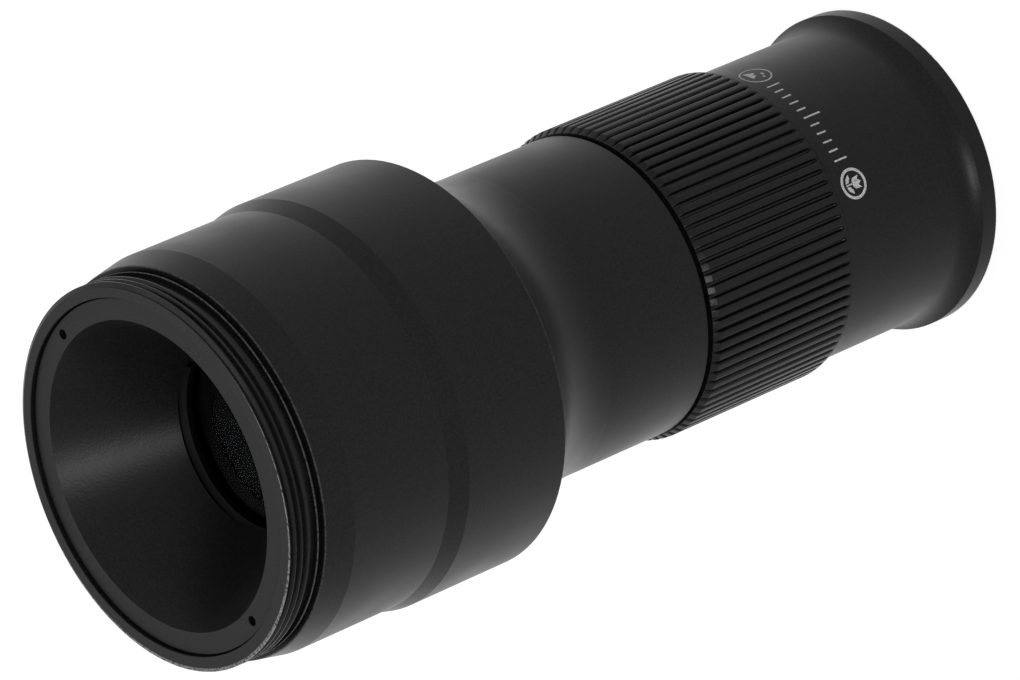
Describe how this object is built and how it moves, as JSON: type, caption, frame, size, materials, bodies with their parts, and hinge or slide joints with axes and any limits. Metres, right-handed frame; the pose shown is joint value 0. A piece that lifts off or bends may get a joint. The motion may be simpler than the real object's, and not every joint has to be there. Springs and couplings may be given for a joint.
{
  "type": "clip-on telephoto lens",
  "caption": "Slender black telephoto attachment for a phone camera, with a flared front tube, a ribbed focus ring that slides the objective on a cam, and a threaded eye end.",
  "frame": {"origin": "centre of the flared front rim's face, on which the lens stands", "axes": "+Z along the optical axis to the threaded eye end, -Y through the middle tick of the focus scale"},
  "size_m": [0.04, 0.0398, 0.093],
  "materials": {
    "black_anodised_shell": "satin black anodised, bead blasted",
    "black_anodised_mount": "satin black anodised, turned",
    "black_anodised_cone": "fine-grained black anodised",
    "black_retainer": "semi-gloss black anodised, turned",
    "black_inner_aluminium": "matt black anodised",
    "natural_aluminium": "turned",
    "brass_cam": "milled and polished",
    "spring_steel": "blued",
    "steel_screws": "plain",
    "coated_glass": "polished, anti-reflection coated",
    "prism_glass": "polished",
    "white_washer": "skived sheet",
    "acetal_rollers": "turned"
  },
  "bodies": {
    "housing": {"front_tube": "black_anodised_shell", "rear_shell": "black_anodised_shell", "mount_ring": "black_anodised_mount", "cone_ring": "black_anodised_cone", "eyepiece_retainer": "black_retainer", "eye_lens": "coated_glass", "eyepiece_housing": "black_inner_aluminium", "field_stop": "black_inner_aluminium", "field_lens": "coated_glass", "eyepiece_spacer_lower": "black_inner_aluminium", "eyepiece_flint": "coated_glass", "eyepiece_crown": "coated_glass", "eyepiece_spacer_upper": "black_inner_aluminium", "prism_cage": "black_inner_aluminium", "entrance_prism": "prism_glass", "roof_prism": "prism_glass", "prism_clamp": "spring_steel", "clamp_screws": "steel_screws", "cage_screws": "steel_screws", "guide_barrel": "natural_aluminium", "ring_washer_front": "white_washer", "ring_washer_rear": "white_washer"},
    "ring": {"focus_ring": "black_anodised_shell", "cam_sleeve": "brass_cam"},
    "cell": {"objective_cell": "black_inner_aluminium", "objective_crown": "coated_glass", "objective_flint": "coated_glass", "objective_retainer": "black_retainer", "follower_pins": "steel_screws", "follower_rollers": "acetal_rollers"}
  },
  "joints": [
    {"name": "focus_turn", "type": "hinge", "parent": "housing", "child": "ring", "pos_m": [0, 0, 0.0282], "axis": [0, 0, 1], "range_deg": [-30, 30]},
    {"name": "focus_travel", "type": "slide", "parent": "housing", "child": "cell", "axis": [0, 0, 1], "range_m": [-0.0016, 0.0016]}
  ],
  "couplings": [
    {"joint": "focus_travel", "follows": "focus_turn", "m_per_rad": -0.0030557}
  ]
}
